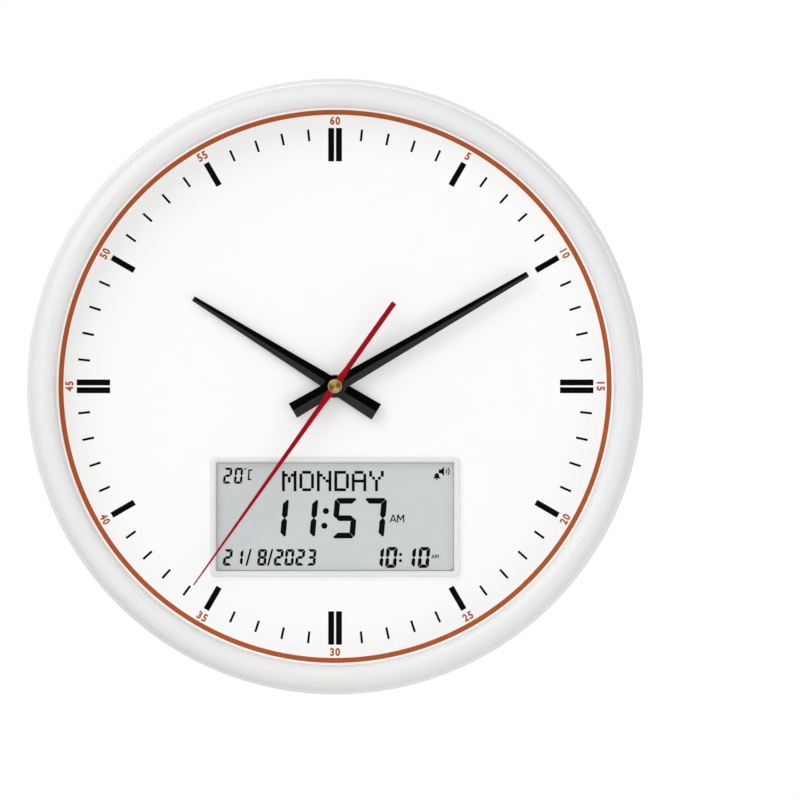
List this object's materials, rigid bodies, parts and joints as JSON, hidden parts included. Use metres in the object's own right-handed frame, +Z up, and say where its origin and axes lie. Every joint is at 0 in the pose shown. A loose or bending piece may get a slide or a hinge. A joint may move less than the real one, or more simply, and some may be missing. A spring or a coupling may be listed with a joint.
{
  "type": "azan wall clock",
  "caption": "Round wall clock with a crowned bezel: analog hands over a digital display, a prayer-call sound module, a quartz gear train and a rear keyhole for hanging.",
  "frame": {"origin": "on the hand axis, in the plane of the wall that the foot ring rests on", "axes": "+Z up, +Y into the wall along the hand axis, +X to the reader's right; the dial faces -Y"},
  "size_m": [0.33, 0.048, 0.33],
  "materials": {
    "case_white": "fine matt white moulding",
    "bezel_white": "glossy white moulding",
    "frame_white": "satin white moulding",
    "clear_glass": "clear flat glass",
    "dial_card": "matt white printed sheet",
    "plate_grey": "plain moulded plate",
    "display_grey": "grey reflective display glass",
    "strip_rubber": "soft connector rubber",
    "seal_rubber": "black rubber",
    "board_green": "solder mask over glass fibre",
    "chip_black": "moulded package",
    "screw_steel": "zinc plated",
    "contact_nickel": "nickel plated spring steel",
    "cell_sleeve": "printed sleeve without lettering",
    "speaker_steel": "black pressed steel",
    "cone_black": "thin film cone",
    "magnet_grey": "ferrite and plated yoke",
    "button_grey": "light grey moulding",
    "movement_black": "fine matt black moulding",
    "gear_ivory": "natural acetal",
    "bearing_smoke": "grey acetal plate",
    "turned_brass": "turned and polished",
    "core_steel": "soft iron sheet",
    "coil_copper": "enamelled copper wire",
    "can_nickel": "drawn can",
    "hand_black": "black lacquer on aluminium",
    "hand_red": "crimson lacquer on aluminium"
  },
  "bodies": {
    "clock": {"rear_case": "case_white", "front_bezel": "bezel_white", "front_glass": "clear_glass", "dial_spacer_ring": "bezel_white", "dial_plate": "plate_grey", "dial_face": "dial_card", "case_screws": "screw_steel", "lcd_frame": "frame_white", "lcd_cell": "display_grey", "lcd_connector_strips": "strip_rubber", "module_housing": "case_white", "module_screws": "screw_steel", "module_cells": "cell_sleeve", "module_contacts": "contact_nickel", "main_board": "board_green", "board_screws": "screw_steel", "board_chips": "chip_black", "speaker_frame": "speaker_steel", "speaker_cone": "cone_black", "speaker_magnet": "magnet_grey", "key_board": "board_green", "key_switches": "chip_black", "slider_switch": "chip_black", "movement_case": "movement_black", "movement_plate": "movement_black", "threaded_bush": "turned_brass", "rubber_washer": "seal_rubber", "fixing_washer": "turned_brass", "fixing_nut": "turned_brass", "bearing_plate": "bearing_smoke", "stator": "core_steel", "coil": "coil_copper", "movement_board": "board_green", "quartz_crystal": "can_nickel", "movement_cell": "cell_sleeve", "movement_contacts": "contact_nickel"},
    "seconds": {"second_wheel": "gear_ivory", "second_hand": "hand_red", "second_hand_cap": "turned_brass"},
    "minute": {"cannon_pinion": "gear_ivory", "minute_hand": "hand_black", "minute_hand_collet": "turned_brass"},
    "hour": {"hour_wheel": "gear_ivory", "hour_hand": "hand_black", "hour_hand_collet": "turned_brass"},
    "motion": {"motion_wheel": "gear_ivory", "set_knob": "movement_black"},
    "intermediate": {"intermediate_wheel": "gear_ivory"},
    "rotor": {"rotor": "magnet_grey"},
    "third": {"third_wheel": "gear_ivory"},
    "centre": {"centre_wheel": "gear_ivory"},
    "battery_door": {"battery_door": "case_white"},
    "sound_slider": {"sound_slider": "button_grey"},
    "mode_button": {"mode_button": "button_grey"},
    "up_button": {"up_button": "button_grey"},
    "down_button": {"down_button": "button_grey"},
    "azan_button": {"azan_button": "button_grey"},
    "alarm_button": {"alarm_button": "button_grey"},
    "light_button": {"light_button": "button_grey"}
  },
  "joints": [
    {"name": "second_hand_turn", "type": "hinge", "parent": "clock", "child": "seconds", "pos_m": [0, -0.018, 0], "axis": [0, 1, 0], "continuous": true},
    {"name": "minute_hand_turn", "type": "hinge", "parent": "clock", "child": "minute", "pos_m": [0, -0.018, 0], "axis": [0, 1, 0], "continuous": true},
    {"name": "hour_hand_turn", "type": "hinge", "parent": "clock", "child": "hour", "pos_m": [0, -0.018, 0], "axis": [0, 1, 0], "continuous": true},
    {"name": "motion_wheel_turn", "type": "hinge", "parent": "clock", "child": "motion", "pos_m": [0.01037, -0.018, 0.00378], "axis": [0, 1, 0], "continuous": true},
    {"name": "intermediate_turn", "type": "hinge", "parent": "clock", "child": "intermediate", "pos_m": [0.00232, -0.018, 0.00865], "axis": [0, 1, 0], "continuous": true},
    {"name": "rotor_turn", "type": "hinge", "parent": "clock", "child": "rotor", "pos_m": [0.00897, -0.018, 0.01249], "axis": [0, 1, 0], "continuous": true},
    {"name": "third_wheel_turn", "type": "hinge", "parent": "clock", "child": "third", "pos_m": [-0.00935, -0.018, 0.0054], "axis": [0, 1, 0], "continuous": true},
    {"name": "centre_wheel_turn", "type": "hinge", "parent": "clock", "child": "centre", "pos_m": [0, -0.018, 0], "axis": [0, 1, 0], "continuous": true},
    {"name": "mode_press", "type": "slide", "parent": "clock", "child": "mode_button", "axis": [0, -1, 0], "range_m": [0, 0.0008], "stiffness_N_per_m": 500},
    {"name": "up_press", "type": "slide", "parent": "clock", "child": "up_button", "axis": [0, -1, 0], "range_m": [0, 0.0008], "stiffness_N_per_m": 500},
    {"name": "down_press", "type": "slide", "parent": "clock", "child": "down_button", "axis": [0, -1, 0], "range_m": [0, 0.0008], "stiffness_N_per_m": 500},
    {"name": "azan_press", "type": "slide", "parent": "clock", "child": "azan_button", "axis": [0, -1, 0], "range_m": [0, 0.0008], "stiffness_N_per_m": 500},
    {"name": "alarm_press", "type": "slide", "parent": "clock", "child": "alarm_button", "axis": [0, -1, 0], "range_m": [0, 0.0008], "stiffness_N_per_m": 500},
    {"name": "light_press", "type": "slide", "parent": "clock", "child": "light_button", "axis": [0, -1, 0], "range_m": [0, 0.0008], "stiffness_N_per_m": 500},
    {"name": "sound_slide", "type": "slide", "parent": "clock", "child": "sound_slider", "axis": [1, 0, 0], "range_m": [0, 0.006]},
    {"name": "battery_door_pull", "type": "slide", "parent": "clock", "child": "battery_door", "axis": [0, 1, 0], "range_m": [0, 0.02]}
  ],
  "couplings": [
    {"joint": "hour_hand_turn", "follows": "minute_hand_turn", "ratio": 0.083333},
    {"joint": "motion_wheel_turn", "follows": "minute_hand_turn", "ratio": -0.33333},
    {"joint": "intermediate_turn", "follows": "second_hand_turn", "ratio": -6},
    {"joint": "rotor_turn", "follows": "second_hand_turn", "ratio": 30},
    {"joint": "third_wheel_turn", "follows": "second_hand_turn", "ratio": -0.13333},
    {"joint": "centre_wheel_turn", "follows": "second_hand_turn", "ratio": 0.016667}
  ]
}
